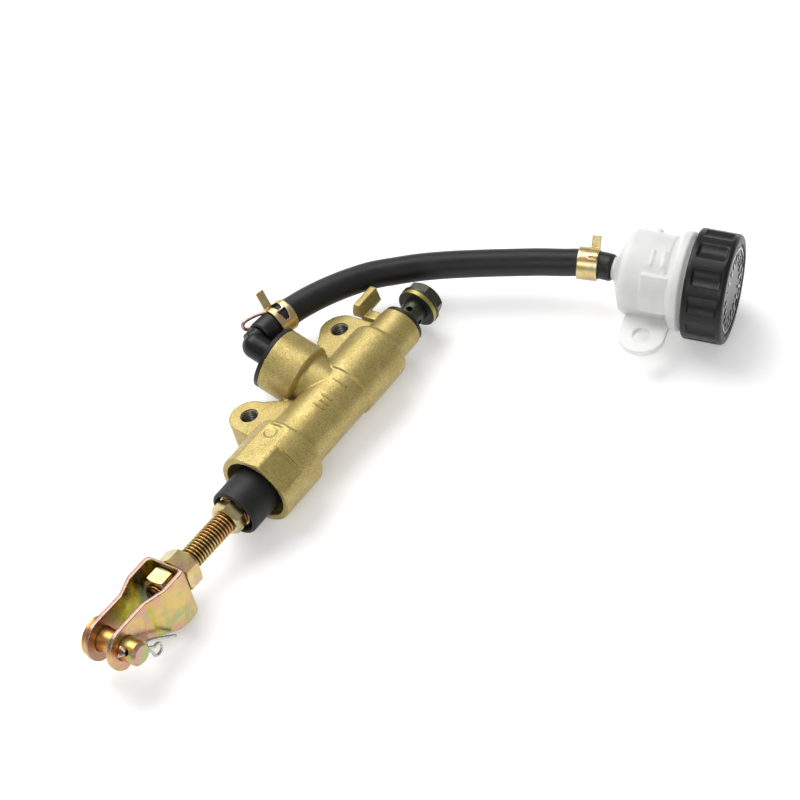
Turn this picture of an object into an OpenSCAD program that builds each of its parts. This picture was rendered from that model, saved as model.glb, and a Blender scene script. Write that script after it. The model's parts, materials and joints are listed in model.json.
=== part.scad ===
// Motorcycle rear brake master cylinder with push rod, clevis, feed hose and remote reservoir.
// Frame: origin at the centre of the brake line seat, +X out of the outlet along the bore,
// +Y towards the inlet and the mounting lugs, +Z up. Millimetres.
// Stations named *_x are counted along the bore from the rim of the mouth.

/* [Casting] */
// Distance from the mouth rim to the brake line seat
seat_x = 82.5; // [80:0.5:90]
// Roll of the casting about the bore, lug side down
body_roll = -16.5; // [-20:0.5:0]
// Radius of the mouth socket
socket_r = 13.2; // [13:0.1:14]
// Radius of the barrel next to the socket
barrel_r = 9.9; // [9.6:0.1:10.4]
// Radius of the barrel towards the outlet
head_r = 10.6; // [10.4:0.1:11]
// Radius of the outlet boss
outlet_r = 7.8; // [7.6:0.1:8.6]
// Radius of the piston bore
bore_r = 6.35; // [6.35:0.01:6.4]
// Radius of the tapped lug holes, M6 core size
lug_hole_r = 2.5; // [2.4:0.05:2.6]
// Radius of the round end of each lug
lug_r = 7; // [6.5:0.1:7.5]

/* [Inlet] */
// Station of the inlet boss
inlet_x = 45.5; // [44:0.5:47]
// Angle of the inlet boss above the horizontal
inlet_tilt = 6; // [0:1:10]
// Radius of the inlet boss
boss_r = 11.1; // [10.8:0.1:11.5]
// Distance from the bore axis to the rim of the inlet boss
boss_top = 24.7; // [24:0.1:26]
// Distance from the bore axis to the elbow's outlet
elbow_out = 35.2; // [34.5:0.1:36]

/* [Push rod] */
// Radius of the threaded rod, M8
rod_r = 3.95; // [3.9:0.01:3.97]
// Station of the ball joint in the piston
ball_x = 20.5; // [20:0.1:21]
// Station of the clevis pin
pin_x = -72; // [-73:0.5:-70]
// Rest tilt of the push rod about its ball, clevis end up
rod_rest = 1.3; // [0:0.1:1.5]
// Radius of the clevis pin
pin_r = 4; // [3.9:0.05:4]
// Thickness of the clevis sheet
sheet_t = 1.7; // [1.5:0.1:2]

/* [Hose and reservoir] */
// Outer radius of the feed hose
hose_r = 4.9; // [4.5:0.05:5]
// Heading of the reservoir, turned from +X about +Z
tank_heading = -73.5; // [-75:0.5:-70]
// Rise of the reservoir towards its cap
tank_pitch = 5; // [3:0.5:6]
// Radius of the reservoir cup
cup_r = 14.8; // [14:0.1:15]
// Radius of the reservoir cap
cap_r = 19; // [18.5:0.1:19.5]
// Number of grip flutes round the cap
cap_flutes = 12; // [10:1:16]

/* [Hidden] */
$fn = 96;

// Colours
gold = [0.72, 0.62, 0.36];
yellow_zinc = [0.76, 0.70, 0.45];
copper_zinc = [0.72, 0.50, 0.32];
dark_zinc = [0.26, 0.28, 0.25];
steel = [0.72, 0.73, 0.74];
black_rubber = [0.10, 0.10, 0.11];
black_plastic = [0.13, 0.13, 0.14];
milky = [0.90, 0.91, 0.90];

// Casting stations
socket_end = 19.8;
barrel_step = 49;
head_end = 71;
lug_low = -6;
lug_top = 5;
lug_lower = [23.4, 19.1];
lug_upper = [69.1, 15.2];
fillet_r = 1.5;
// Inside of the casting
mouth_r = 11;
mouth_depth = 13;
clip_bore_r = 7.4;
clip_bore_end = 17;
bore_end = 72;
thread_r = 4.95;
// Flats on the socket
side_flat_angle = 50;
side_flat_len = 10.5;
side_flat_d = 11.95;
top_flat_d = 12.55;
// Banjo stop block beside the outlet
stop_start = 78.4;
stop_end = 88.6;
stop_y = 14.1;

// Fits
slip = 0.05;

// Where the hose and the reservoir lie
hose_end = [59.1, -46.5, 3.5];
hose_route = [
    [-32.8, 34.5, 3.6], [-28, 34.1, 3.6], [-23.2, 33.4, 3.5], [-17, 32.2, 3.3], [-9.9, 30.2, 2.9], [-2.8, 27.5, 2.5],
    [4.2, 24.15, 2.1], [11.2, 19.95, 1.7], [17.4, 14.6, 1.5], [23.4, 8.9, 1.4], [28.8, 2.8, 1.4], [34, -3.7, 1.4],
    [39, -10.4, 1.5], [43.8, -17.2, 1.7], [48.4, -24, 2], [52.6, -30.9, 2.3],
    [54.97, -34.63, 2.52], [56.5, -38.3, 2.8], [58.03, -41.97, 3.08], hose_end];
hose_sides = 12;
ear_s = 15.5;
ear_reach = 21.3;
ear_top = -6;
ear_t = 2.4;
ear_w = 15.6;
ear_hole_r = 2.9;
cap_start = 27.6;
cap_end = 41.8;

// Points of an arc from angle a to angle b about c
function arc(c, r, a, b, n = 6) =
    [for (i = [0:n]) c + r * [cos(a + (b - a) * i / n), sin(a + (b - a) * i / n)]];

// Puts a solid that is built round +Z onto the bore, starting at station x
module on_bore(x) translate([x - seat_x, 0, 0]) rotate([0, 90, 0]) children();
// Ring or disc round the bore from station x0 to x1
module ring(x0, x1, r, hole = 0) on_bore(x0) difference() {
    cylinder(h = x1 - x0, r = r);
    if (hole > 0) translate([0, 0, -1]) cylinder(h = x1 - x0 + 2, r = hole);
}
// Frame of the rolled casting, X counted from the mouth rim
module casting_frame() rotate([body_roll, 0, 0]) translate([-seat_x, 0, 0]) children();
// Frame of the inlet boss: +Z out of the boss, +X along the bore
module inlet_frame() translate([inlet_x - seat_x, 0, 0]) rotate([inlet_tilt - 90, 0, 0]) children();
// Frame of the push rod, casting frame tilted about the ball
module rod_frame() casting_frame() translate([ball_x, 0, 0]) rotate([0, rod_rest, 0])
    translate([-ball_x, 0, 0]) children();
// Puts a solid that is built round +Z onto the push rod, starting at station x
module on_rod(x) rod_frame() translate([x, 0, 0]) rotate([0, 90, 0]) children();
// Frame of the clevis pin: +Z along the pin towards the lug side, +X along the rod
module pin_frame() rod_frame() translate([pin_x, 0, 0]) rotate([-90, 0, 0]) children();
// Frame of the reservoir: +Z along its axis from the spigot, +Y up
module tank_frame() translate(hose_end) rotate([0, -tank_pitch, tank_heading]) rotate([90, 0, 90]) children();

// Outline of the casting, turned about the bore: [radius, station]
casting_outline = concat(
    [[0, 0], [socket_r - 0.4, 0], [socket_r, 0.4]],
    arc([socket_r - fillet_r, socket_end - fillet_r], fillet_r, 0, 90, 4),
    [[barrel_r + 0.6, socket_end], [barrel_r, socket_end + 0.6], [barrel_r, barrel_step],
        [head_r, barrel_step + 0.4]],
    arc([head_r - 2.2, head_end - 2.2], 2.2, 0, 75, 6),
    [[outlet_r, head_end + 0.3], [outlet_r, seat_x - 0.6], [outlet_r - 0.6, seat_x], [0, seat_x]]);

module lug_plate(centre, foot) translate([0, 0, lug_low]) linear_extrude(lug_top - lug_low) union() {
    translate(centre) circle(lug_r);
    polygon(foot);
}

module cylinder_body() color(gold) difference() {
    union() {
        casting_frame() {
            difference() {
                rotate([90, 0, 90]) rotate_extrude() polygon(casting_outline);
                // Flat on top of the socket and wrench flat on its side
                translate([-1, -10, top_flat_d]) cube([socket_end - 1, 20, 5]);
                rotate([side_flat_angle, 0, 0])
                    translate([-1, -10, side_flat_d]) cube([side_flat_len + 1, 20, 5]);
            }
            lug_plate(lug_lower, [[17, 0], [35.5, 0], [35.5, 9.5], [27, lug_lower[1] + 6],
                [lug_lower[0] - lug_r, lug_lower[1]], [14, 6]]);
            lug_plate(lug_upper, [[54, 0], [76, 0], [lug_upper[0] + lug_r, lug_upper[1]],
                [lug_upper[0] - 4, lug_upper[1] + 5.7], [60.4, 18.4], [56, 11.2]]);
            banjo_stop();
        }
        inlet_frame() {
            cylinder(h = 13, r = 9.2);
            translate([0, 0, 11.4]) cylinder(h = 1.2, r1 = 9.2, r2 = boss_r);
            translate([0, 0, 12.6]) cylinder(h = boss_top - 12.6, r = boss_r);
        }
    }
    // Mouth, seat of the clip and washer, bore and outlet thread
    on_bore(-1) cylinder(h = mouth_depth + 1, r = mouth_r);
    on_bore(mouth_depth - 1) cylinder(h = clip_bore_end - mouth_depth + 1, r = clip_bore_r);
    on_bore(14) cylinder(h = 1.1, r = clip_bore_r + 0.7);
    on_bore(clip_bore_end - 1) cylinder(h = bore_end - clip_bore_end + 1, r = bore_r);
    on_bore(bore_end - 1) cylinder(h = seat_x - bore_end + 3, r = thread_r);
    // Inlet chamber, its clip groove and the two ports into the bore
    inlet_frame() {
        translate([0, 0, 14]) cylinder(h = 20, r = 8.6);
        translate([0, 0, 20.1]) cylinder(h = 1.2, r = 9.3);
        translate([-3.5, 0, 4]) cylinder(h = 12, r = 1.25, $fn = 24);
        translate([6.2, 0, 4]) cylinder(h = 12, r = 0.5, $fn = 24);
    }
    // Round mark in the top flat
    casting_frame() translate([14.6, 0.5, top_flat_d - 0.3]) cylinder(h = 2, r = 2.3);
    // Tapped holes in the lugs
    casting_frame() for (c = [lug_lower, lug_upper])
        translate([c[0], c[1], lug_low - 1]) cylinder(h = lug_top - lug_low + 2, r = lug_hole_r);
}

// Block on a short web that stops a banjo fitting from turning
module banjo_stop() {
    translate([stop_start, 4.5, 0.4]) cube([3.9, 9, 3.2]);
    translate([stop_start, stop_y, 2.4]) rotate([90, 0, 90]) linear_extrude(stop_end - stop_start)
        polygon([[-2, 0], [-2, 1.2], [-1.3, 5.6], [1.3, 5.6], [2.8, 1.8], [2.8, 0]]);
}

module piston() color(steel) on_bore(clip_bore_end + 0.1) difference() {
    union() {
        cylinder(h = 7, r = bore_r - slip);
        cylinder(h = 32.8, r = 4);
        translate([0, 0, 11.2]) cylinder(h = 1.6, r = bore_r - 0.15);
        translate([0, 0, 27]) cylinder(h = 2.8, r = bore_r - slip);
    }
    // Socket of the ball joint
    translate([0, 0, ball_x - clip_bore_end - 0.1]) sphere(r = 4.6);
    translate([0, 0, -1]) cylinder(h = ball_x - clip_bore_end + 0.9, r = 4.6);
}

// Lipped rubber cup with its lip towards +X
module lip_cup(x0, x1, hole) on_bore(x0) rotate_extrude() polygon([
    [hole, 0], [bore_r - 0.25, 0], [bore_r - slip, x1 - x0], [bore_r - 1.0, x1 - x0],
    [bore_r - 1.2, (x1 - x0) * 0.45], [hole, (x1 - x0) * 0.45]]);
module primary_cup() color(black_rubber) lip_cup(46.95, 49.6, 4.05);
module secondary_cup() color(black_rubber) lip_cup(24.3, 28.1, 4.05);

module spring_seat() color(steel) on_bore(49.95) difference() {
    union() {
        cylinder(h = 0.8, r = 5.6);
        cylinder(h = 4, r = 3.4);
    }
    translate([0, 0, -1]) cylinder(h = 6, r = 1);
}

// Coil of round wire, swept round the bore with its two end turns closed up
spring_turns = 8;
spring_start = 50.85;
spring_end = bore_end - 0.1;
spring_r = 5.1;
wire_r = 0.55;
wire_sides = 8;
turn_steps = 14;
spring_rings = spring_turns * turn_steps;
function coil_height(turn) = turn < 1 ? 1.2 * wire_r * turn
    : turn > spring_turns - 1 ? spring_end - spring_start - 2 * wire_r - 1.2 * wire_r * (spring_turns - turn)
    : 1.2 * wire_r + (turn - 1) * (spring_end - spring_start - 4.4 * wire_r) / (spring_turns - 2);
module return_spring() color(steel) on_bore(spring_start + wire_r) polyhedron(
    points = [for (i = [0:spring_rings], k = [0:wire_sides - 1])
        let (a = 360 * i / turn_steps, b = 360 * k / wire_sides, r = spring_r + wire_r * cos(b))
            [r * cos(a), r * sin(a), coil_height(i / turn_steps) + wire_r * sin(b)]],
    faces = tube_faces(spring_rings + 1, wire_sides, true));
// Faces of a tube of rings that have the same number of points, closed at both ends
function tube_faces(rings, sides, inward = false) = let (faces = concat(
    [[for (k = [0:sides - 1]) k]],
    [for (i = [0:rings - 2], k = [0:sides - 1]) let (n = (k + 1) % sides, a = i * sides, b = a + sides)
        [a + k, b + k, b + n, a + n]],
    [[for (k = [sides - 1:-1:0]) (rings - 1) * sides + k]]))
    inward ? [for (f = faces) [for (j = [len(f) - 1:-1:0]) f[j]]] : faces;

module stop_washer() color(yellow_zinc) ring(15.3, 16.5, clip_bore_r - 0.1, 4.2);

module retaining_clip() color(steel) on_bore(14.05) difference() {
    cylinder(h = 1, r = clip_bore_r + 0.6);
    translate([0, 0, -1]) cylinder(h = 3, r = 5.9);
    translate([5, -3, -1]) cube([6, 6, 3]);
}

module dust_boot() color(black_rubber) on_bore(-11.5) rotate_extrude() polygon(concat(
    [[7.1, 0.8], [7.4, 0]], arc([7.7, 0.8], 0.8, -60, 0, 3),
    [[8.5, 17.5], [10.2, 19.3], [mouth_r - 0.05, 20.2], [mouth_r - 0.05, 24.2], [9.4, 24.2],
        [9.4, 21.6], [7.1, 19.2]]));

module push_rod() color(copper_zinc) {
    on_rod(-52) {
        cylinder(h = 0.8, r1 = rod_r - 0.8, r2 = rod_r);
        translate([0, 0, 0.8]) cylinder(h = 55.2, r = rod_r);
        translate([0, 0, 56]) cylinder(h = ball_x - 4, r = 2.9);
    }
    on_bore(ball_x) sphere(r = 4.5);
}

module boot_ring() color(yellow_zinc) on_rod(-10.6) difference() {
    cylinder(h = 1.2, r = 5.9);
    translate([0, 0, -1]) cylinder(h = 4, r = rod_r + slip);
}

// Hexagon nut with chamfered corners, turned about the rod
module hex_nut(x0, x1, flats, turn = 0) color(yellow_zinc) on_rod(x0) rotate([0, 0, turn]) difference() {
    intersection() {
        cylinder(h = x1 - x0, r = flats / sqrt(3), $fn = 6);
        rotate_extrude() polygon([[0, 0], [flats / 2, 0], [flats / 2 + 1.2, 0.8],
            [flats / 2 + 1.2, x1 - x0 - 0.8], [flats / 2, x1 - x0], [0, x1 - x0]]);
    }
    translate([0, 0, -1]) cylinder(h = x1 - x0 + 2, r = rod_r + slip);
}
module rod_nut() hex_nut(-15.9, -10.9, 10, 10);
module lock_nut() hex_nut(-41.8, -35.8, 12.5);
module clevis_nut() hex_nut(-50, -44, 11, 30);

// Clevis: sheet bent to a box at the rod and stepped in to two ears at the pin
box_half = 8;
ear_half = 5.5;
back_x = 30;
step_far = 19.5;
step_near = 12.5;
ear_r = 7.4;
ear_tip = -8;
// Half of the sheet's outer edge in plan, from the ear tip to the back wall; d is the inset
function cheek_edge(d) = concat(
    [[ear_tip, ear_half - d], [step_near - d * 0.3, ear_half - d], [step_far - d * 0.3, box_half - d]],
    arc([back_x - 3, box_half - 3], 3 - d, 90, 0, 5));
module clevis_plan() difference() {
    polygon(concat(cheek_edge(0), [for (i = [len(cheek_edge(0)) - 1:-1:0])
        [cheek_edge(0)[i][0], -cheek_edge(0)[i][1]]]));
    polygon(concat([for (p = cheek_edge(sheet_t)) p - [p[0] == ear_tip ? 1 : 0, 0]],
        [for (i = [len(cheek_edge(0)) - 1:-1:0]) let (p = cheek_edge(sheet_t)[i])
            [p[0] - (p[0] == ear_tip ? 1 : 0), -p[1]]]));
}
// Side view of the cheeks, round at the ear: [along the bore, up]
module cheek_side() polygon(concat(arc([0, 0], ear_r, 90, 250, 20),
    [[6.5, -5.4], [13.5, -8], [19.5, -10.2], [24.5, -11.2], [back_x - 1.2, -10.4], [back_x, -9.2],
        [back_x, 6.2], [back_x - 1.2, 7.4]]));
module clevis() color(yellow_zinc) difference() {
    rod_frame() translate([pin_x, 0, 0]) intersection() {
        translate([0, 0, -12]) linear_extrude(24) clevis_plan();
        translate([0, 12, 0]) rotate([90, 0, 0]) linear_extrude(24) cheek_side();
    }
    pin_frame() translate([0, 0, -12]) cylinder(h = 24, r = pin_r + slip);
    on_rod(-46) cylinder(h = 10, r = rod_r + 0.1);
}

pin_end = -12;
split_z = -8.6;
split_turn = 40;
split_r = 1.1;
module clevis_pin() color(yellow_zinc) pin_frame() difference() {
    union() {
        translate([0, 0, pin_end]) cylinder(h = 1, r1 = pin_r - 1, r2 = pin_r);
        translate([0, 0, pin_end + 1]) cylinder(h = -pin_end - 1 + ear_half + 0.3, r = pin_r);
        translate([0, 0, ear_half + 0.3]) cylinder(h = 1.2, r = 6.8);
        translate([0, 0, ear_half + 1.5]) cylinder(h = 0.5, r1 = 6.8, r2 = 6.1);
    }
    translate([0, 0, split_z]) rotate([0, 90, split_turn]) translate([0, 0, -6])
        cylinder(h = 12, r = split_r + 0.1, $fn = 32);
}

// Split pin: two half-round legs through the pin, an eye at one end, tips bent apart at the other
eye_r = 2.1;
eye_x = 9.8;
tip_len = 3.6;
module split_pin() color(steel) pin_frame() translate([0, 0, split_z]) rotate([0, 0, split_turn]) {
    translate([-5.2, 0, 0]) rotate([0, 90, 0]) cylinder(h = eye_x - eye_r + 5.4, r = split_r, $fn = 32);
    translate([eye_x, 0, 0]) rotate_extrude() translate([eye_r, 0]) circle(0.55, $fn = 24);
    for (s = [-1, 1]) translate([-4.95, s * 0.4, 0]) rotate([-90 * s, -30, 0])
        cylinder(h = tip_len, r = 0.55, $fn = 24);
}

bolt_head = 93;
cross_x = 87;
// Hollow bolt with a smooth shank, a cross hole and a flanged hexagon head
module banjo_bolt() color(dark_zinc) on_bore(0) difference() {
    union() {
        translate([0, 0, 73.6]) cylinder(h = seat_x - 73.6, r = thread_r - slip);
        translate([0, 0, seat_x]) cylinder(h = bolt_head - seat_x, r = 4.3);
        translate([0, 0, bolt_head]) cylinder(h = 0.9, r = 7.4);
        translate([0, 0, bolt_head + 0.9]) cylinder(h = 0.5, r1 = 7.4, r2 = 6.8);
        intersection() {
            translate([0, 0, bolt_head + 0.6]) rotate([0, 0, 12]) cylinder(h = 5, r = 12 / sqrt(3), $fn = 6);
            translate([0, 0, bolt_head]) rotate_extrude() polygon([[0, 0], [8, 0], [8, 3.2], [6, 4.8], [0, 4.8]]);
        }
    }
    translate([0, 0, 72]) cylinder(h = 17, r = 1.6, $fn = 32);
    translate([-6, 0, cross_x]) rotate([0, 90, 0]) cylinder(h = 12, r = 1.1, $fn = 32);
    translate([0, 6, cross_x]) rotate([90, 0, 0]) cylinder(h = 12, r = 1.1, $fn = 32);
    translate([0, 0, bolt_head + 4]) cylinder(h = 2, r = 3.2);
}
module seat_washer() color(black_rubber) ring(seat_x + 0.02, seat_x + 1.1, 7.4, 5);
module head_washer() color(black_rubber) ring(bolt_head - 1.65, bolt_head - 0.02, 7.2, 4.35);

// Elbow: plug in the inlet chamber, neck, round knuckle and barbed outlet pipe
pipe_turn = 6;
knuckle_r = 4.5;
knuckle_out = 33.4;
module inlet_elbow() color(black_plastic) inlet_frame() difference() {
    union() {
        translate([0, 0, 14.1]) cylinder(h = 1.1, r = 8.5);
        translate([0, 0, 15.2]) cylinder(h = 2, r = 6.9);
        translate([0, 0, 17.2]) cylinder(h = 2.8, r = 8.5);
        translate([0, 0, 20]) cylinder(h = knuckle_out - 20, r = knuckle_r);
        translate([0, 0, knuckle_out]) sphere(r = knuckle_r);
        elbow_pipe() {
            cylinder(h = 4, r = 3.8);
            cylinder(h = 17, r = 3.1);
            translate([0, 0, 14]) cylinder(h = 3, r1 = 3.6, r2 = 2.9);
        }
    }
    translate([0, 0, 13]) cylinder(h = elbow_out - 13, r = 2);
    elbow_pipe() cylinder(h = 20, r = 2);
}
// Frame of the elbow's outlet, +Z out of the pipe
module elbow_pipe() translate([0, 0, elbow_out]) rotate([0, 90 + pipe_turn, 0]) children();

module inlet_cover() color(black_rubber) inlet_frame() difference() {
    union() {
        translate([0, 0, boss_top + 0.02]) cylinder(h = 1.3, r = boss_r);
        translate([0, 0, 21.5]) cylinder(h = 4, r = 8.55);
    }
    translate([0, 0, 21]) cylinder(h = 3.8, r = 7.2);
    translate([0, 0, 20]) cylinder(h = 8, r = knuckle_r + slip);
}
module inlet_o_ring() color(black_rubber) inlet_frame() translate([0, 0, 16.2])
    rotate_extrude() translate([7.73, 0]) circle(0.8, $fn = 24);
module inlet_clip() color(steel) inlet_frame() translate([0, 0, 20.15]) difference() {
    cylinder(h = 1.1, r = 9.2);
    translate([0, 0, -1]) cylinder(h = 3, r = 6.9);
    translate([4, -3, -1]) cube([8, 6, 3]);
}

// Feed hose swept along its route
function unit(v) = v / norm(v);
function heading(i) = unit(hose_route[min(i + 1, len(hose_route) - 1)] - hose_route[max(i - 1, 0)]);
function hose_ring(i) = let (t = heading(i), side = unit(cross(t, [0, 0, 1])), up = cross(side, t))
    [for (k = [0:hose_sides - 1]) let (a = 360 * k / hose_sides)
        hose_route[i] + hose_r * (cos(a) * side + sin(a) * up)];
module hose() color(black_rubber) polyhedron(
    points = [for (i = [0:len(hose_route) - 1]) each hose_ring(i)],
    faces = tube_faces(len(hose_route), hose_sides));

// Spring band round the hose with two squeeze tangs near one edge and two tapered windows
band_w = 7;
band_t = 0.7;
tang_w = 3.2;
tangs = [[38, 0], [-30, -35]];
windows = [62, 108];
module spring_band(tang_len) difference() {
    union() {
        cylinder(h = band_w, r = hose_r + band_t + 0.1);
        for (t = tangs) rotate([0, 0, t[0]]) translate([hose_r + 0.4, 0, 0.1]) rotate([0, 0, t[1]])
            translate([0, -band_t / 2, 0]) cube([tang_len, band_t, tang_w]);
    }
    translate([0, 0, -1]) cylinder(h = band_w + 2, r = hose_r + 0.1);
    for (a = windows) rotate([0, 0, a]) translate([0, 0, band_w / 2])
        rotate([90, 0, 90]) linear_extrude(10) polygon([[-1.9, -1.7], [-1.9, 1.7], [1.9, 0.8], [1.9, -0.8]]);
}
// Puts a band on the hose at route point i, turned by spin about the hose
module band_at(i, spin) let (t = heading(i)) translate(hose_route[i])
    rotate([0, acos(t[2]), atan2(t[1], t[0])]) rotate([0, 0, spin]) children();
module hose_clamp_lower() color(yellow_zinc) band_at(2, 100)
    translate([0, 0, -band_w / 2]) spring_band(6.6);
module hose_clamp_upper() color(yellow_zinc) band_at(17, 165)
    rotate([180, 0, 0]) translate([0, 0, -band_w / 2]) spring_band(4.6);

// Reservoir cup: spigot, cone shoulder, wall, two collars and the threaded neck
cup_outline = concat([[0, -11], [2.6, -11], [3.5, -8.5], [3.1, -8.5], [3.1, 0.05], [4, 0.05], [4.1, 1]],
    arc([cup_r - 3, 7.2], 3, -55, 0, 5),
    [[cup_r, 20.2], [cup_r - 0.5, 20.6], [cup_r - 0.5, 21.2], [15.8, 21.9], [17.2, 23.3], [17.2, 25.6],
        [16.4, 26.4], [15.6, 26.9], [15.6, 37.2], [0, 37.2]]);
cup_hollow = concat([[0, -12], [1.8, -12], [1.8, 2.2], [cup_r - 5.4, 5]],
    arc([cup_r - 4.6, 7.8], 3, -55, 0, 5),
    [[cup_r - 1.6, 22], [13.4, 24], [13.4, 38.5], [0, 38.5]]);
module reservoir_cup() color(milky) tank_frame() difference() {
    union() {
        rotate_extrude() polygon(cup_outline);
        // Thread crests on the neck
        for (s = [29.5, 32.5, 35.5]) translate([0, 0, s]) cylinder(h = 0.9, r = 16.1);
        ear();
        // Raised panel, two level ribs and moulding nub
        rotate([0, 0, -24]) translate([-cup_r - 0.3, -6.8, 12.6]) cube([3, 13.6, 9]);
        for (k = [14.5, 18.5]) rotate([0, 0, -72]) translate([-cup_r - 0.25, -3, k]) cube([2, 6, 0.8]);
        rotate([0, 0, 39]) translate([cup_r - 0.5, 0, 13.4]) rotate([0, 90, 0]) cylinder(h = 1.6, r = 1.1, $fn = 32);
    }
    rotate_extrude() polygon(cup_hollow);
    translate([ -ear_reach, 0, ear_s]) rotate([90, 0, 0]) translate([0, 0, -30]) cylinder(h = 60, r = ear_hole_r);
}
// Mounting ear, a tongue that lies level below the cup's axis
module ear() translate([0, ear_top, 0]) rotate([90, 0, 0]) linear_extrude(ear_t) union() {
    translate([-ear_reach, ear_s]) circle(ear_w / 2);
    translate([-ear_reach, ear_s - ear_w / 2]) square([ear_reach - 12.4, ear_w]);
}

flute_r = 6;
flute_depth = 1.1;
module reservoir_cap() color(black_plastic) tank_frame() difference() {
    rotate_extrude() polygon(concat([[0, cap_start], [cap_r - 0.6, cap_start], [cap_r, cap_start + 0.6]],
        arc([cap_r - 1.6, cap_end - 1.6], 1.6, 0, 90, 5), [[0, cap_end]]));
    translate([0, 0, cap_start - 1]) cylinder(h = 12.65, r = 16.6);
    // Recess of the face disc
    translate([0, 0, cap_end - 1.1]) cylinder(h = 3, r = 15.6);
    for (k = [0:cap_flutes - 1]) rotate([0, 0, 4 + k * 360 / cap_flutes])
        translate([cap_r + flute_r - flute_depth, 0, cap_start + 2.4])
            cylinder(h = cap_end - cap_start - 4.4, r = flute_r);
}

// Face disc with a raised rim and a ring of plain bars
module cap_disc() color(steel) tank_frame() translate([0, 0, cap_end - 1.08]) {
    cylinder(h = 0.5, r = 15.5);
    translate([0, 0, 0.4]) difference() {
        cylinder(h = 0.4, r = 14.6);
        translate([0, 0, -1]) cylinder(h = 3, r = 13.9);
    }
    for (k = [0:17]) rotate([0, 0, k * 20]) translate([9, -0.5, 0.4]) cube([3.4, 1, 0.4]);
}

// Folded rubber diaphragm with a flange that the cap clamps
module diaphragm() color(black_rubber) tank_frame() rotate_extrude() polygon([
    [0, 29], [5, 29], [6, 34], [8, 34], [9, 28], [11.4, 28], [12.4, 37.25], [15.4, 37.25], [15.4, 38.1],
    [11.6, 38.1], [10.6, 29], [9.8, 29], [8.8, 35], [5.2, 35], [4.2, 30], [0, 30]]);
module diaphragm_plate() color(milky) tank_frame() difference() {
    translate([0, 0, 38.15]) cylinder(h = 0.8, r = 15.4);
    for (k = [0:3]) rotate([0, 0, 90 * k]) translate([7, 0, 30]) cylinder(h = 12, r = 1, $fn = 24);
}

cylinder_body();
piston();
primary_cup();
secondary_cup();
return_spring();
spring_seat();
stop_washer();
retaining_clip();
dust_boot();
push_rod();
boot_ring();
rod_nut();
lock_nut();
clevis_nut();
clevis();
clevis_pin();
split_pin();
banjo_bolt();
seat_washer();
head_washer();
inlet_elbow();
inlet_cover();
inlet_o_ring();
inlet_clip();
hose();
hose_clamp_lower();
hose_clamp_upper();
reservoir_cup();
reservoir_cap();
cap_disc();
diaphragm();
diaphragm_plate();
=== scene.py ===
"""Looks of the rear brake master cylinder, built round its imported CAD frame. Metres."""
import json
import math

import bmesh
import bpy
from mathutils import Matrix, Vector


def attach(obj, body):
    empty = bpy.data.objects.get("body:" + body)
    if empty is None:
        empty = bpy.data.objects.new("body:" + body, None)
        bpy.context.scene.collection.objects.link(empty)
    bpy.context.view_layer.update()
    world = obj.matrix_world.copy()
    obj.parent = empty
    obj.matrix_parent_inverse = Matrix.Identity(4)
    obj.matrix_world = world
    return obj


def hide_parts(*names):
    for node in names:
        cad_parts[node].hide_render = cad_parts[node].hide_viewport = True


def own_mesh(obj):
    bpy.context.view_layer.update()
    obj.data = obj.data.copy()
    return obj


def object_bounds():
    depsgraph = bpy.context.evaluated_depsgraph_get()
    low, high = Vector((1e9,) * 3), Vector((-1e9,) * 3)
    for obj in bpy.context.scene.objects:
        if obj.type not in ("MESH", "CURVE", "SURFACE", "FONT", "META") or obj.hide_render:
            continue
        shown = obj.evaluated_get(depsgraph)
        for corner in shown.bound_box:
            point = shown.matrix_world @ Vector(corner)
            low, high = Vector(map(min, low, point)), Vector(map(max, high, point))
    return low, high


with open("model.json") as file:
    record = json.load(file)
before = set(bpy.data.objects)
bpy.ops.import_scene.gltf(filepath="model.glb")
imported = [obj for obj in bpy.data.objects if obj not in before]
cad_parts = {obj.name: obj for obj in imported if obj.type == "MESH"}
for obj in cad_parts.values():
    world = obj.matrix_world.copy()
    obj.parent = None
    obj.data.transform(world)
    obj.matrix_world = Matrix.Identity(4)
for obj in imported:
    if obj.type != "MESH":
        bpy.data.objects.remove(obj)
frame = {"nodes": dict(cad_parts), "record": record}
CAD_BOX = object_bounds()
MM = 0.001


def mm(*v):
    """A point given in millimetres of the part's frame."""
    return Vector(v) * MM


# Camera: the viewing angle, far enough away for a long lens
AIM = mm(-37.4, -25.2, 17.6)
VIEW_HEADING = math.radians(214.6)
VIEW_RISE = math.radians(52.4)
VIEW_DISTANCE = 0.870
FIELD_LENS = 122.4
SENSOR_WIDTH = 36
VIEW_REACH = 20


def add_camera():
    data = bpy.data.cameras.new("camera")
    data.lens = FIELD_LENS
    data.sensor_width = SENSOR_WIDTH
    data.clip_end = VIEW_REACH
    camera = bpy.data.objects.new("camera", data)
    bpy.context.collection.objects.link(camera)
    level = math.cos(VIEW_RISE)
    toward = Vector((level * math.cos(VIEW_HEADING), level * math.sin(VIEW_HEADING), math.sin(VIEW_RISE)))
    camera.location = AIM + toward * VIEW_DISTANCE
    camera.rotation_euler = (-toward).to_track_quat("-Z", "Y").to_euler()
    bpy.context.scene.camera = camera


add_camera()

# ---------------------------------------------------------------- frames of the CAD, in millimetres
SEAT = 82.5
BODY_ROLL = math.radians(-16.5)
BALL_X = 20.5
ROD_REST = math.radians(1.3)
PIN_X = -72.0
TANK_END = (59.1, -46.5, 3.5)
TANK_HEADING = math.radians(-73.5)
TANK_PITCH = math.radians(5)

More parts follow.
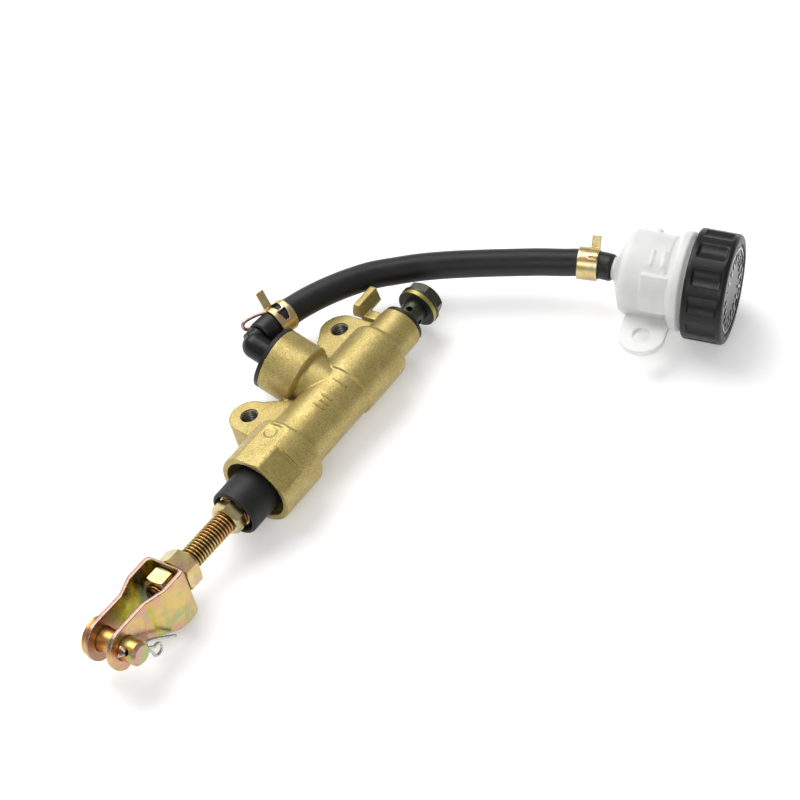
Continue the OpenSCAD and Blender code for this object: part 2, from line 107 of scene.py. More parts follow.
CASTING = Matrix.Rotation(BODY_ROLL, 4, "X") @ Matrix.Translation((-SEAT, 0, 0))
ROD = (CASTING @ Matrix.Translation((BALL_X, 0, 0)) @ Matrix.Rotation(ROD_REST, 4, "Y")
       @ Matrix.Translation((-BALL_X, 0, 0)))
PIN = ROD @ Matrix.Translation((PIN_X, 0, 0)) @ Matrix.Rotation(-math.pi / 2, 4, "X")
TANK = (Matrix.Translation(TANK_END) @ Matrix.Rotation(TANK_HEADING, 4, "Z")
        @ Matrix.Rotation(-TANK_PITCH, 4, "Y") @ Matrix.Rotation(math.pi / 2, 4, "Z")
        @ Matrix.Rotation(math.pi / 2, 4, "X"))


def placed(matrix, points):
    """Points in millimetres of a CAD frame, as metres of the part's frame."""
    return [(matrix @ Vector(p)) * MM for p in points]


# ---------------------------------------------------------------- mesh helpers
def new_piece(name, verts, faces, body, slot, *replaced):
    """A smooth mesh that rides on a body and stands for the CAD nodes in replaced."""
    mesh = bpy.data.meshes.new(name)
    mesh.from_pydata([tuple(v) for v in verts], [], faces)
    mesh.validate()
    piece = bpy.data.objects.new(name, mesh)
    bpy.context.collection.objects.link(piece)
    tidy_normals(mesh)
    for polygon in mesh.polygons:
        polygon.use_smooth = True
    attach(piece, body)
    if replaced:
        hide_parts(*replaced)
    return piece


def tidy_normals(mesh):
    work = bmesh.new()
    work.from_mesh(mesh)
    bmesh.ops.recalc_face_normals(work, faces=work.faces)
    work.to_mesh(mesh)
    work.free()


def softened(node, name, body, voxel, passes, change=None, strength=0.5):
    """A copy of a CAD node with its edges and inside corners rounded, as cast or moulded."""
    source = frame["nodes"][node]
    copy = bpy.data.objects.new("work", source.data.copy())
    bpy.context.collection.objects.link(copy)
    copy.matrix_world = source.matrix_world
    grid = copy.modifiers.new("grid", "REMESH")
    grid.mode = "VOXEL"
    grid.voxel_size = voxel * MM
    grid.use_smooth_shade = True
    relax = copy.modifiers.new("relax", "SMOOTH")
    relax.factor = strength
    relax.iterations = passes
    graph = bpy.context.evaluated_depsgraph_get()
    mesh = bpy.data.meshes.new_from_object(copy.evaluated_get(graph), depsgraph=graph)
    mesh.transform(copy.matrix_world)
    bpy.data.objects.remove(copy)
    mesh.name = name
    if change:
        for vertex in mesh.vertices:
            vertex.co = change(vertex.co)
    for polygon in mesh.polygons:
        polygon.use_smooth = True
    mesh.materials.clear()
    piece = bpy.data.objects.new(name, mesh)
    bpy.context.collection.objects.link(piece)
    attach(piece, body)
    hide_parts(node)
    return piece


def bridge(rings):
    """Faces between rings of equal count."""
    count = len(rings[0])
    faces = []
    for near, far in zip(rings, rings[1:]):
        for k in range(count):
            n = (k + 1) % count
            faces.append((near[k], far[k], far[n], near[n]))
    return faces


def add_ring(verts, points):
    """Adds points to verts and returns their numbers."""
    first = len(verts)
    verts.extend(points)
    return list(range(first, len(verts)))


def circle(radius_at, z, sides, cx=0, cy=0):
    """Points round +Z, where radius_at(height, turn) gives each one's radius."""
    points = []
    for k in range(sides):
        radius = radius_at(z, k / sides)
        a = math.tau * k / sides
        points.append((cx + radius * math.cos(a), cy + radius * math.sin(a), z))
    return points


def stacked(verts, radius_at, start, end, step, sides, cx=0, cy=0):
    """Adds circles to verts from one height to another, about a step apart."""
    count = round((end - start) / step)
    heights = [start + (end - start) * i / count for i in range(count + 1)]
    return [add_ring(verts, circle(radius_at, z, sides, cx, cy)) for z in heights]


def crest_share(z, turn, pitch, root, flank):
    """0 in a thread's root and 1 on its crest. root and flank are shares of half a pitch."""
    phase = (z / pitch - turn) % 1
    return min(1, max(0, (abs(phase - 0.5) * 2 - root) / flank))


def tube(points, radii, sides, close_ends=True):
    """Rings of the given radii swept along points without twist."""
    points = [Vector(p) for p in points]
    if not isinstance(radii, list):
        radii = [radii] * len(points)
    verts, rings = [], []
    side = None
    for i, (p, radius) in enumerate(zip(points, radii)):
        ahead = (points[min(i + 1, len(points) - 1)] - points[max(i - 1, 0)]).normalized()
        if side is None:
            side = ahead.orthogonal().normalized()
        side = (side - ahead * side.dot(ahead)).normalized()
        up = ahead.cross(side)
        turns = [math.tau * k / sides for k in range(sides)]
        rings.append(add_ring(verts, [p + radius * (math.cos(a) * side + math.sin(a) * up) for a in turns]))
    faces = bridge(rings)
    if close_ends:
        faces += [tuple(rings[0]), tuple(reversed(rings[-1]))]
    return verts, faces


def merged(meshes):
    """Several meshes as one, each given as its points and faces."""
    verts, faces = [], []
    for more, more_faces in meshes:
        faces += [tuple(i + len(verts) for i in face) for face in more_faces]
        verts += more
    return verts, faces


def flowing(points, steps):
    """Catmull-Rom curve through points."""
    pts = [Vector(p) for p in points]
    pts = [2 * pts[0] - pts[1]] + pts + [2 * pts[-1] - pts[-2]]
    out = []
    for i in range(1, len(pts) - 2):
        a, b, c, d = pts[i - 1:i + 3]
        for s in range(steps):
            t = s / steps
            out.append(0.5 * ((2 * b) + (c - a) * t + (2 * a - 5 * b + 4 * c - d) * t * t
                              + (3 * b - a - 3 * c + d) * t ** 3))
    out.append(pts[-2])
    return out


# ---------------------------------------------------------------- feed hose
HOSE_R = 4.9
HOSE_WALL = 1.7
HOSE_SIDES = 40
HOSE_UNDERSIZE = 0.15
BORE_SHOWN = 3
BARB_SWELL = 0.22
BARB_SPREAD = 2.2
BARB_FROM_ELBOW = 12.5
BARB_FROM_TANK = 8.5
END_EASE = 0.35
END_EASE_REACH = 0.6
HOSE_ROUTE = [
    (-32.8, 34.5, 3.6), (-28, 34.1, 3.6), (-23.2, 33.4, 3.5), (-17, 32.2, 3.3), (-9.9, 30.2, 2.9),
    (-2.8, 27.5, 2.5), (4.2, 24.15, 2.1), (11.2, 19.95, 1.7), (17.4, 14.6, 1.5), (23.4, 8.9, 1.4),
    (28.8, 2.8, 1.4), (34, -3.7, 1.4), (39, -10.4, 1.5), (43.8, -17.2, 1.7), (48.4, -24, 2),
    (52.6, -30.9, 2.3), (54.97, -34.63, 2.52), (56.5, -38.3, 2.8), (58.03, -41.97, 3.08), TANK_END]


def add_hose():
    path = flowing(HOSE_ROUTE, 6)
    lengths = [0.0]
    for a, b in zip(path, path[1:]):
        lengths.append(lengths[-1] + (b - a).length)
    total = lengths[-1]
    radii = []
    for s in lengths:
        # swollen over each barb, with a slightly eased end edge
        swell = sum(BARB_SWELL * math.exp(-((s - c) / BARB_SPREAD) ** 2)
                    for c in (BARB_FROM_ELBOW, total - BARB_FROM_TANK))
        edge = max(0, 1 - min(s, total - s) / END_EASE_REACH)
        radii.append((HOSE_R - HOSE_UNDERSIZE + swell - END_EASE * edge ** 2) * MM)
    path = [p * MM for p in path]
    verts, faces = tube(path, radii, HOSE_SIDES, close_ends=False)
    last = len(verts) - HOSE_SIDES
    # recessed bore at both ends
    for first, point, inward in ((0, path[0], path[1] - path[0]), (last, path[-1], path[-2] - path[-1])):
        inward = inward.normalized()
        rim = list(range(first, first + HOSE_SIDES))
        arms = [(verts[i] - point).normalized() * (HOSE_R - HOSE_WALL) * MM for i in rim]
        rings = [rim]
        for depth in (0, BORE_SHOWN * MM):
            rings.append(add_ring(verts, [point + arm + inward * depth for arm in arms]))
        more = bridge(rings)
        faces += more if first else [tuple(reversed(f)) for f in more]
        faces.append(tuple(rings[-1]))
    hose = new_piece("feed_hose", verts, faces, "feed_line", "rubber", "hose")
    return hose


HOSE = add_hose()

# ---------------------------------------------------------------- floor and light
FLOOR_Z = CAD_BOX[0][2]
FLOOR_SPAN = 8
FLOOR_GLOW = 0.24
WORLD_GLOW = 0.42
WHITE = (1, 1, 1, 1)


def shader(name, rough=0.5, metal=0.0, colour=(0.8, 0.8, 0.8), **extra):
    material = bpy.data.materials.new(name)
    material.use_nodes = True
    surface = material.node_tree.nodes["Principled BSDF"]
    surface.inputs["Base Color"].default_value = (*colour, 1)
    surface.inputs["Roughness"].default_value = rough
    surface.inputs["Metallic"].default_value = metal
    for key, value in extra.items():
        surface.inputs[key.replace("_", " ")].default_value = value
    return material


def add_floor():
    bpy.ops.mesh.primitive_plane_add(size=FLOOR_SPAN, location=(0, 0, FLOOR_Z))
    floor = bpy.context.object
    floor.name = "floor"
    floor.data.materials.append(shader("floor_paper", 0.9, colour=(0.93, 0.93, 0.93),
                                       Emission_Color=WHITE, Emission_Strength=FLOOR_GLOW))


def add_light(name, place, size, power):
    data = bpy.data.lights.new(name, "AREA")
    data.size = size
    data.energy = power
    light = bpy.data.objects.new(name, data)
    bpy.context.collection.objects.link(light)
    light.location = place
    light.rotation_euler = (AIM - light.location).to_track_quat("-Z", "Y").to_euler()


def add_world():
    world = bpy.data.worlds.new("studio")
    bpy.context.scene.world = world
    world.use_nodes = True
    background = world.node_tree.nodes["Background"]
    background.inputs["Color"].default_value = WHITE
    background.inputs["Strength"].default_value = WORLD_GLOW


add_floor()
add_light("key", Vector((0.22, 0.85, 1.15)), 1.3, 24)
add_light("fill", Vector((-1.0, -0.35, 1.0)), 0.6, 4)
add_world()
bpy.context.scene.view_settings.view_transform = "Standard"


# ---------------------------------------------------------------- materials
class Weave:
    """Short way to lay out a node tree that reads object coordinates."""

    def __init__(self, material):
        self.tree = material.node_tree
        self.surface = self.tree.nodes["Principled BSDF"]
        coordinates = self.tree.nodes.new("ShaderNodeTexCoord")
        self.place = coordinates.outputs["Object"]
        self.normal = coordinates.outputs["Normal"]

    def node(self, kind, **values):
        made = self.tree.nodes.new(kind)
        for key, value in values.items():
            setattr(made, key, value)
        return made

    def link(self, source, target):
        self.tree.links.new(source, target)

    def noise(self, scale, detail=3.0, rough=0.55):
        made = self.node("ShaderNodeTexNoise")
        made.inputs["Scale"].default_value = scale
        made.inputs["Detail"].default_value = detail
        made.inputs["Roughness"].default_value = rough
        self.link(self.place, made.inputs["Vector"])
        return made.outputs["Fac"]

    def ramp(self, source, stops):
        made = self.node("ShaderNodeValToRGB")
        elements = made.color_ramp.elements
        while len(elements) < len(stops):
            elements.new(0.5)
        for element, (position, colour) in zip(elements, stops):
            element.position = position
            element.color = (*colour, 1)
        self.link(source, made.inputs["Fac"])
        return made.outputs["Color"]

    def offset(self, point):
        """From a point, in metres, to the spot that is shaded."""
        made = self.node("ShaderNodeVectorMath", operation="SUBTRACT")
        self.link(self.place, made.inputs[0])
        made.inputs[1].default_value = point
        return made.outputs[0]

    def absolute(self, source):
        made = self.node("ShaderNodeMath", operation="ABSOLUTE")
        self.link(source, made.inputs[0])
        return made.outputs[0]

    def dot(self, source, axis):
        made = self.node("ShaderNodeVectorMath", operation="DOT_PRODUCT")
        self.link(source, made.inputs[0])
        made.inputs[1].default_value = axis
        return made.outputs["Value"]

    def product(self, a, b):
        made = self.node("ShaderNodeMath", operation="MULTIPLY")
        self.link(a, made.inputs[0])
        if hasattr(b, "is_output"):
            self.link(b, made.inputs[1])
        else:
            made.inputs[1].default_value = b
        return made.outputs[0]

    def span(self, source, low, high, out_low, out_high):
        made = self.node("ShaderNodeMapRange")
        settings = {"From Min": low, "From Max": high, "To Min": out_low, "To Max": out_high}
        for key, value in settings.items():
            made.inputs[key].default_value = value
        self.link(source, made.inputs["Value"])
        return made.outputs["Result"]

    def mix(self, factor, a, b):
        made = self.node("ShaderNodeMix", data_type="RGBA")
        for value, key in ((factor, 0), (a, 6), (b, 7)):
            if hasattr(value, "is_output"):
                self.link(value, made.inputs[key])
            elif key:
                made.inputs[key].default_value = (*value, 1)
            else:
                made.inputs[key].default_value = value
        return made.outputs[2]

    def bump(self, height, distance, strength=1.0, under=None):
        made = self.node("ShaderNodeBump")
        made.inputs["Distance"].default_value = distance * MM
        made.inputs["Strength"].default_value = strength
        self.link(height, made.inputs["Height"])
        if under is not None:
            self.link(under, made.inputs["Normal"])
        self.link(made.outputs["Normal"], self.surface.inputs["Normal"])
        return made.outputs["Normal"]

    def set(self, key, source):
        self.link(source, self.surface.inputs[key])


def gold_paint():
    """Metallic gold paint with a satin grain, and painted shade darkening the corners."""
    material = shader("gold_paint", 0.42, 0.62, (0.50, 0.38, 0.13))
    w = Weave(material)
    mottle = w.noise(160, 4, 0.6)
    grain = w.noise(2700, 2, 0.6)
    base = w.ramp(mottle, [(0.3, (0.40, 0.31, 0.10)), (0.5, (0.47, 0.37, 0.13)),
                           (0.7, (0.52, 0.42, 0.165))])
    speckled = w.mix(w.span(grain, 0.44, 0.66, 0, 0.72), base, (0.22, 0.155, 0.04))
    # Painted shade: an ambient occlusion node mixes dark brown into the colour in corners and crevices.
    corner = w.node("ShaderNodeAmbientOcclusion", samples=6)
    corner.inputs["Distance"].default_value = 2.2 * MM
    painted_corner_shade = w.span(corner.outputs["AO"], 0.35, 0.9, 0.8, 0)
    w.set("Base Color", w.mix(painted_corner_shade, speckled, (0.12, 0.075, 0.012)))
    w.set("Roughness", w.span(grain, 0.3, 0.7, 0.32, 0.5))
    w.bump(w.noise(600, 3, 0.5), 0.10, 0.6, w.bump(grain, 0.09, 0.8))
    return material


def yellow_zinc(name, seed, rough=0.3, tone=0.5):
    """Yellow chromate over zinc: soft patches of straw, pink and green."""
    material = shader(name, rough, 1.0, (0.6, 0.5, 0.25))
    w = Weave(material)
    pale = w.ramp(w.noise(150 + seed, 2, 0.5), [(0.34, (0.56, 0.36, 0.27)), (0.46, (0.56, 0.44, 0.18)),
                                                (0.58, (0.62, 0.52, 0.32)), (0.70, (0.36, 0.40, 0.20))])
    deep = w.ramp(w.noise(110 + seed, 2, 0.5), [(0.36, (0.30, 0.32, 0.10)), (0.5, (0.52, 0.38, 0.11)),
                                                (0.64, (0.50, 0.26, 0.12))])
    w.set("Base Color", w.mix(tone, deep, pale))
    w.set("Roughness", w.span(w.noise(220, 2), 0.3, 0.7, rough - 0.03, rough + 0.06))
    return material


def clevis_zinc():
    """Bright chromate colours: pinkish bronze cut edges, pink, green and yellow clouds on the outside,
    deeper yellow green with a blue grey band at the bends on the inside."""
    material = shader("clevis_zinc", 0.30, 1.0, (0.6, 0.5, 0.25))
    w = Weave(material)
    turn = ROD.to_3x3()
    across, tall, along = (tuple(turn @ Vector(v)) for v in ((0, 1, 0), (0, 0, 1), (1, 0, 0)))
    centre = tuple((ROD @ Vector((PIN_X, 0, 0))) * MM)
    cloud, drift, patch = w.noise(120, 2, 0.5), w.noise(170, 2, 0.5), w.noise(230, 3, 0.5)
    outside = w.mix(w.span(cloud, 0.42, 0.60, 0, 0.9), (0.56, 0.40, 0.17), (0.56, 0.30, 0.23))
    outside = w.mix(w.span(drift, 0.50, 0.64, 0, 0.8), outside, (0.33, 0.38, 0.17))
    outside = w.mix(w.span(patch, 0.36, 0.46, 0.6, 0), outside, (0.58, 0.45, 0.12))
    inside = w.mix(w.span(cloud, 0.42, 0.60, 0, 1), (0.62, 0.54, 0.06), (0.34, 0.34, 0.03))
    inside = w.mix(w.span(drift, 0.52, 0.66, 0, 0.7), inside, (0.60, 0.40, 0.05))
    arm = w.offset(centre)
    back = w.dot(arm, along)
    band = w.product(w.span(back, 19.5 * MM, 20.5 * MM, 0, 1), w.span(back, 24.0 * MM, 25.0 * MM, 1, 0))
    inside = w.mix(w.span(back, 5 * MM, 10 * MM, 1, 0), inside, (0.44, 0.26, 0.165))
    inside = w.mix(w.product(band, 0.85), inside, (0.16, 0.22, 0.20))
    crease = w.product(w.span(back, 11.5 * MM, 12.6 * MM, 0, 1), w.span(back, 13.0 * MM, 15.0 * MM, 1, 0))
    outside = w.mix(w.product(crease, 0.6), outside, (0.46, 0.40, 0.04))
    facing_in = w.product(w.dot(arm, across), w.dot(w.normal, across))
    colour = w.mix(w.span(facing_in, -0.001, 0.001, 1, 0), outside, inside)
    upright = w.absolute(w.dot(w.normal, tall))
    colour = w.mix(w.span(upright, 0.4, 0.8, 0, 1), colour, (0.33, 0.205, 0.165))
    w.set("Base Color", colour)
    w.set("Roughness", w.span(w.noise(700, 3), 0.3, 0.7, 0.24, 0.38))
    w.bump(w.noise(500, 3), 0.05, 0.5)
    return material


def pin_zinc():
    """Copper orange shaft, with an end face half green and half pink."""
    material = shader("pin_zinc", 0.28, 1.0, (0.6, 0.4, 0.2))
    w = Weave(material)
    turn = PIN.to_3x3()
    axis, over = tuple(turn @ Vector((0, 0, 1))), tuple(turn @ Vector((0.75, 0.66, 0)))
    arm = w.offset(tuple((PIN @ Vector((0, 0, 0))) * MM))
    shaft = w.ramp(w.noise(260, 3), [(0.36, (0.56, 0.20, 0.05)), (0.5, (0.52, 0.33, 0.10)),
                                     (0.64, (0.36, 0.36, 0.12))])
    halves = w.span(w.dot(arm, over), -2.4 * MM, 1.6 * MM, 0, 1)
    face = w.mix(halves, (0.56, 0.27, 0.27), (0.31, 0.42, 0.17))
    flat = w.absolute(w.dot(w.normal, axis))
    w.set("Base Color", w.mix(w.span(flat, 0.6, 0.8, 0, 1), shaft, face))
    w.set("Roughness", w.span(w.noise(800, 3), 0.3, 0.7, 0.28, 0.4))
    return material


def rubber(name, colour=(0.0075, 0.007, 0.0075), rough=0.42):
    """Dull black, with cloudy gloss and a fine skin."""
    material = shader(name, rough, 0.0, colour, Specular_IOR_Level=0.38)
    w = Weave(material)
    dull = w.noise(140, 4, 0.6)
    dark, light = tuple(0.75 * c for c in colour), tuple(1.3 * c for c in colour)
    w.set("Base Color", w.ramp(dull, [(0.3, dark), (0.7, light)]))
    w.set("Roughness", w.span(dull, 0.3, 0.7, rough - 0.06, rough + 0.1))
    w.bump(w.noise(2200, 2), 0.04, 0.5)
    return material


def plastic(name, colour, rough):
    """Moulded plastic with uneven gloss and a fine skin."""
    material = shader(name, rough, 0.0, colour, Specular_IOR_Level=0.27)
    w = Weave(material)
    w.set("Roughness", w.span(w.noise(260, 4), 0.3, 0.7, rough - 0.07, rough + 0.08))
    w.bump(w.noise(3000, 2), 0.03, 0.35)
    return material


def copper_thread():
    """Bright copper coloured crests over thread roots darkened with painted shade."""
    material = shader("copper_thread", 0.24, 1.0, (0.62, 0.38, 0.15))
    w = Weave(material)
    start, along = ROD @ Vector((0, 0, 0)) * MM, ROD.to_3x3() @ Vector((1, 0, 0))
    cross = w.node("ShaderNodeVectorMath", operation="CROSS_PRODUCT")
    w.link(w.offset(start), cross.inputs[0])
    cross.inputs[1].default_value = along
    reach = w.node("ShaderNodeVectorMath", operation="LENGTH")
    w.link(cross.outputs[0], reach.inputs[0])
    crest = w.span(reach.outputs["Value"], 3.45 * MM, 3.9 * MM, 0, 1)
    tint = w.ramp(w.noise(160, 3), [(0.35, (0.60, 0.33, 0.11)), (0.5, (0.66, 0.44, 0.17)),
                                    (0.65, (0.58, 0.50, 0.18))])
    # Painted shade: the thread roots get a near black colour.
    w.set("Base Color", w.mix(crest, (0.085, 0.04, 0.015), tint))
    w.set("Roughness", w.span(w.noise(900, 3), 0.3, 0.7, 0.2, 0.34))
    return material


def plain_metal(name, colour, rough):
    """One metal with a fine grain in its colour and gloss."""
    material = shader(name, rough, 1.0, colour)
    w = Weave(material)
    fine = w.noise(900, 3, 0.6)
    dark, light = tuple(0.8 * c for c in colour), tuple(min(1, 1.15 * c) for c in colour)
    w.set("Base Color", w.ramp(fine, [(0.3, dark), (0.7, light)]))
    w.set("Roughness", w.span(fine, 0.3, 0.7, rough - 0.06, rough + 0.08))
    w.bump(fine, 0.02, 0.4)
    return material


def milky_plastic():
    """Translucent white, with a slightly wavy skin."""
    material = shader("milky_plastic", 0.42, 0.0, (0.82, 0.82, 0.81), Transmission_Weight=0.30,
                      Subsurface_Weight=0.30, Subsurface_Scale=0.003, Subsurface_Radius=(1, 1, 1), IOR=1.49)
    w = Weave(material)
    w.set("Base Color", w.ramp(w.noise(120, 3), [(0.3, (0.81, 0.81, 0.80)), (0.7, (0.90, 0.90, 0.89))]))
    w.set("Roughness", w.span(w.noise(500, 3), 0.3, 0.7, 0.36, 0.5))
    w.bump(w.noise(260, 3), 0.12, 0.5)
    return material


def bonded_seal():
    """Black rubber inside, yellow passivated steel round the rim."""
    material = shader("bonded_seal", 0.4, 0.0, (0.02, 0.02, 0.02))
    w = Weave(material)
    split = w.node("ShaderNodeSeparateXYZ")
    w.link(w.place, split.inputs[0])
    flat = w.node("ShaderNodeCombineXYZ")
    w.link(split.outputs[1], flat.inputs[1])
    w.link(split.outputs[2], flat.inputs[2])
    length = w.node("ShaderNodeVectorMath", operation="LENGTH")
    w.link(flat.outputs[0], length.inputs[0])
    rim = w.span(length.outputs["Value"], 7.0 * MM, 7.1 * MM, 0, 1)
    w.set("Base Color", w.mix(rim, (0.010, 0.010, 0.010), (0.36, 0.31, 0.10)))
    w.set("Metallic", rim)
    w.bump(w.noise(1500, 2), 0.03, 0.5)
    return material


# The end of the cap, how far below it the disc's back lies, and the heights on the disc
# where the silver starts and where it is full
CAP_END = 41.8
DISC_RECESS = 1.08
SILVER_FROM = 0.58
SILVER_FULL = 0.66


def relief_disc():
    """Silver on what stands up, black on the ground of the disc."""
    material = shader("relief_disc", 0.32, 0.0, (0.02, 0.02, 0.02))
    w = Weave(material)
    axis = TANK.to_3x3() @ Vector((0, 0, 1))
    base = Vector(TANK_END).dot(axis) * MM
    broken = w.span(w.noise(520, 3), 0.46, 0.50, 0.1, 1)
    low, high = (base + (CAP_END - DISC_RECESS + up) * MM for up in (SILVER_FROM, SILVER_FULL))
    raised = w.span(w.dot(w.place, axis), low, high, 0, 1)
    shown = w.product(raised, broken)
    w.set("Base Color", w.mix(shown, (0.012, 0.011, 0.012), (0.62, 0.61, 0.60)))
    w.set("Metallic", shown)
    w.bump(w.noise(900, 3), 0.05, 0.5)
    return material


LOOK = {
    "cast_body": gold_paint(),
    "yellow_zinc": yellow_zinc("yellow_zinc", 0),
    "copper_rod": copper_thread(),
    "dark_zinc": plain_metal("dark_zinc", (0.075, 0.078, 0.060), 0.36),
    "steel": plain_metal("bright_steel", (0.50, 0.50, 0.49), 0.22),
    "piston_alloy": plain_metal("piston_alloy", (0.66, 0.67, 0.68), 0.28),
    "rubber": rubber("black_rubber"),
    "bonded_washer": bonded_seal(),
    "black_plastic": plastic("elbow_plastic", (0.007, 0.007, 0.0075), 0.30),
    "cap_plastic": plastic("cap_plastic", (0.0085, 0.0072, 0.0076), 0.34),
    "milky_plastic": milky_plastic(),
    "disc_metal": relief_disc(),
}
CLEVIS_LOOK = clevis_zinc()
PIN_LOOK = pin_zinc()
NUT_LOOK = yellow_zinc("nut_zinc", 30, 0.25, 0.8)
BAND_LOOK = yellow_zinc("band_zinc", 70, 0.3, 0.9)


def paint(piece, material):
    piece.data.materials.clear()
    piece.data.materials.append(material)


def paint_node(name, material):
    """Gives a CAD node that stays in view its material."""
    for held in frame["nodes"][name].material_slots:
        held.material = material


for row in frame["record"]["subparts"]:
    paint_node(row["node"], LOOK[row["material_slot"]])
for name in ("rod_nut", "lock_nut", "clevis_nut", "boot_ring"):
    paint_node(name, NUT_LOOK)
paint_node("seat_washer", LOOK["rubber"])
paint_node("dust_boot", rubber("boot_rubber", (0.0065, 0.006, 0.0065), 0.55))
paint(HOSE, LOOK["rubber"])

# ---------------------------------------------------------------- casting
LUGS = ((23.4, 19.1), (69.1, 15.2))
LUG_LOW, LUG_TOP = -6, 5
TAP_MAJOR = 3.02
TAP_CORE = 2.5
TAP_PITCH = 1.0
TAP_ROOT, TAP_FLANK = 0.1, 0.8
TAP_WALL = 0.06
TAP_INSET = 0.35
TAP_STEP = 0.125
TAP_SIDES = 40
# Painted shade: the thread inside the lug holes is coloured near black for the shade in the holes.
TAP_LOOK = plain_metal("tapped_alloy_painted_shade", (0.17, 0.16, 0.135), 0.3)
HOLE_CATCH = 0.05
HOLE_ROOM = 0.02
HOLE_OVERRUN = 0.5
INTO_CASTING = CASTING.inverted()


def open_tapped_holes(point):
    """Widens the lug holes to the thread's outer size, so that the thread can stand in them."""
    local = INTO_CASTING @ (point / MM)
    for cx, cy in LUGS:
        arm = Vector((local.x - cx, local.y - cy))
        inside = LUG_LOW - HOLE_OVERRUN < local.z < LUG_TOP + HOLE_OVERRUN
        if inside and arm.length < TAP_MAJOR + HOLE_CATCH:
            arm = arm.normalized() * (TAP_MAJOR + HOLE_ROOM)
            local = Vector((cx + arm.x, cy + arm.y, local.z))
            return (CASTING @ local) * MM
    return point


casting = softened("cylinder_body", "cast_body", "master_cylinder", 0.30, 3, open_tapped_holes)
paint(casting, LOOK["cast_body"])


def tap_radius(z, turn):
    depth = crest_share(z, turn, TAP_PITCH, TAP_ROOT, TAP_FLANK)
    return TAP_CORE + (TAP_MAJOR - TAP_CORE - TAP_WALL) * depth


def tap_thread(name, cx, cy):
    """Internal thread, a thin sleeve whose inner face is the helix."""
    low, high = LUG_LOW + TAP_INSET, LUG_TOP - TAP_INSET
    verts = []
    inner = stacked(verts, tap_radius, low, high, TAP_STEP, TAP_SIDES, cx, cy)
    outer = [add_ring(verts, circle(lambda *_: TAP_MAJOR, z, TAP_SIDES, cx, cy)) for z in (high, low)]
    faces = bridge(inner + outer + [inner[0]])
    piece = new_piece(name, placed(CASTING, verts), faces, "master_cylinder", "cast_body")
    paint(piece, TAP_LOOK)


for label, (cx, cy) in zip(("lower", "upper"), LUGS):
    tap_thread("tap_" + label, cx, cy)

# ---------------------------------------------------------------- push rod with its thread
ROD_MAJOR = 3.95
ROD_ROOT = 3.25
ROD_PITCH = 1.25
ROD_THREAD_ROOT, ROD_THREAD_FLANK = 0.16, 0.66
ROD_LOW, ROD_HIGH = -52, 3.6
ROD_STEP = 0.13
ROD_SIDES = 48
LEAD_IN_LENGTH = 1.0
LEAD_IN_DEPTH = 0.9
RUN_OUT = 0.4
SHANK_R = 2.9
BALL_R = 4.5
BALL_TO_SHANK = 3.44


def rod_radius(z, turn):
    """Thread radius, cut back over the lead-in at the clevis end."""
    crest = crest_share(z, turn, ROD_PITCH, ROD_THREAD_ROOT, ROD_THREAD_FLANK)
    lead = min(1, max(0, (z - ROD_LOW) / LEAD_IN_LENGTH))
    return min(ROD_ROOT + (ROD_MAJOR - ROD_ROOT) * crest, ROD_MAJOR - LEAD_IN_DEPTH * (1 - lead))


def add_rod():
    """Threaded rod, with a plain shank and a ball beyond the thread."""
    verts = []
    rings = stacked(verts, rod_radius, ROD_LOW, ROD_HIGH, ROD_STEP, ROD_SIDES)
    tail = [(SHANK_R, ROD_HIGH + RUN_OUT), (SHANK_R, BALL_X - BALL_TO_SHANK)]
    for degrees in range(-50, 90, 7):
        a = math.radians(degrees)
        tail.append((BALL_R * math.cos(a), BALL_X + BALL_R * math.sin(a)))
    for radius, z in tail:
        rings.append(add_ring(verts, circle(lambda *_: radius, z, ROD_SIDES)))
    faces = bridge(rings) + [tuple(rings[0]), tuple(rings[-1])]
    verts = placed(ROD @ Matrix.Rotation(math.pi / 2, 4, "Y"), verts)
    rod = new_piece("push_rod_thread", verts, faces, "push_rod_assembly", "copper_rod", "push_rod")
    paint(rod, LOOK["copper_rod"])


add_rod()


def add_return_spring():
    """Copy of the coil that rides on the piston assembly."""
    source = frame["nodes"]["return_spring"]
    coil = bpy.data.objects.new("return_coil", source.data.copy())
    bpy.context.collection.objects.link(coil)
    coil.matrix_world = source.matrix_world
    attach(coil, "piston_assembly")
    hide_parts("return_spring")
    paint(coil, LOOK["steel"])
    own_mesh(coil)


add_return_spring()

# ---------------------------------------------------------------- clevis and its pins
clevis = softened("clevis", "clevis_sheet", "push_rod_assembly", 0.24, 5)
paint(clevis, CLEVIS_LOOK)
paint_node("clevis_pin", PIN_LOOK)

SPLIT_Z = -8.6
SPLIT_TURN = math.radians(40)
WIRE_R = 0.5
EYE_X, EYE_Y, EYE_R = 11.0, 0.4, 2.0
SPARE_END = [(4.3, -0.9, 0.4), (5.6, -2.3, 0.5), (9, -3.0, 0.3), (14, -3.2, 0.1), (18.6, -3.35, 0)]


def add_split_pin():
    """Wire doubled on itself: an eye, two legs through the pin, spread tips, and the spare end
    bent back past the eye."""
    local = PIN @ Matrix.Translation((0, 0, SPLIT_Z)) @ Matrix.Rotation(SPLIT_TURN, 4, "Z")
    arc = [math.radians(a) for a in range(0, 151, 15)]
    routes = []
    for s in (-1, 1):
        eye = [(EYE_X + EYE_R * math.cos(a), EYE_Y + s * EYE_R * math.sin(a), 0) for a in arc]
        leg = [(7.2, s * 0.55, 0), (5, s * 0.5, 0), (0, s * 0.5, 0), (-4.2, s * 0.5, 0)]
        tip = [(-4.9, s * 0.75 - 0.1, 0.1), (-5.7, s * 1.15 - 0.3, 0.25), (-6.6, s * 1.5 - 0.5, 0.4)]
        routes.append(eye + leg + tip)
    routes.append(SPARE_END)
    verts, faces = merged(tube(placed(local, flowing(route, 4)), WIRE_R * MM, 12) for route in routes)
    piece = new_piece("split_pin_wire", verts, faces, "pin_assembly", "steel", "split_pin")
    paint(piece, LOOK["steel"])


add_split_pin()

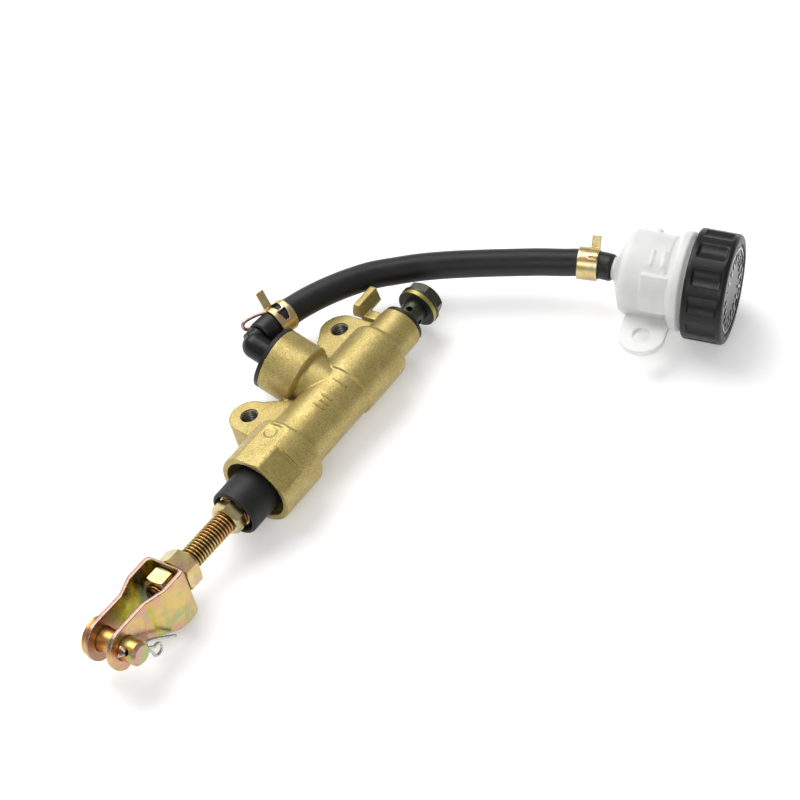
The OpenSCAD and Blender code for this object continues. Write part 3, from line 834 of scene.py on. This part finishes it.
# ---------------------------------------------------------------- moulded and pressed pieces
MOULDINGS = (
    ("inlet_elbow", "elbow_moulding", "feed_line", "black_plastic", 0.24, 4),
    ("reservoir_cup", "cup_moulding", "feed_line", "milky_plastic", 0.30, 4),
    ("reservoir_cap", "cap_moulding", "lid", "cap_plastic", 0.30, 4))
for node, name, body, slot, voxel, passes in MOULDINGS:
    paint(softened(node, name, body, voxel, passes), LOOK[slot])
for node in ("hose_clamp_lower", "hose_clamp_upper"):
    clamp = softened(node, node + "_spring", "feed_line", 0.16, 5)
    paint(clamp, BAND_LOOK)

TANG_R = 0.68
TANG_LOOP = [
    (-25.2, 36.4, 7.6), (-28.0, 38.8, 7.0), (-31.2, 40.8, 6.1), (-32.9, 41.3, 5.4), (-33.8, 40.6, 4.6),
    (-33.3, 39.6, 3.9), (-31.2, 38.5, 4.1), (-28.2, 37.0, 4.8), (-25.8, 35.4, 5.6)]
TANG_LOOK = plain_metal("tang_zinc", (0.50, 0.33, 0.27), 0.28)


def add_second_tang():
    """Squeeze tang on the far side of the lower band, a loop of wire with a round end."""
    verts, faces = tube([mm(*p) for p in flowing(TANG_LOOP, 4)], TANG_R * MM, 14)
    paint(new_piece("band_tang", verts, faces, "feed_line", "yellow_zinc"), TANG_LOOK)


add_second_tang()

# Strokes on the barrel: the place along it, then from where to where round it
STROKES = ((33.2, -2.0, 1.9), (35.4, -2.0, 0.9), (37.6, -2.0, 1.9), (45.0, -2.6, 2.5))
STROKE_PARTS = 6
STROKE_R = 0.36
BARREL_R = 9.85
MARK_TURN = math.radians(-25)


def add_cast_marks():
    """Short raised strokes on the barrel, with no meaning."""
    tubes = []
    for x, low, high in STROKES:
        points = []
        for i in range(STROKE_PARTS + 1):
            a = (low + (high - low) * i / STROKE_PARTS) / BARREL_R + MARK_TURN
            points.append((x, BARREL_R * math.sin(a), BARREL_R * math.cos(a)))
        tubes.append(tube(placed(CASTING, points), STROKE_R * MM, 10))
    verts, faces = merged(tubes)
    paint(new_piece("cast_marks", verts, faces, "master_cylinder", "cast_body"), LOOK["cast_body"])


add_cast_marks()

EDGE_WIDTH = 0.14
EDGE_ANGLE = math.radians(35)


def ease_edges(node):
    bevel = frame["nodes"][node].modifiers.new("edge", "BEVEL")
    bevel.width = EDGE_WIDTH * MM
    bevel.segments = 2
    bevel.limit_method = "ANGLE"
    bevel.angle_limit = EDGE_ANGLE


for node in ("rod_nut", "lock_nut", "clevis_nut", "banjo_bolt", "clevis_pin"):
    ease_edges(node)
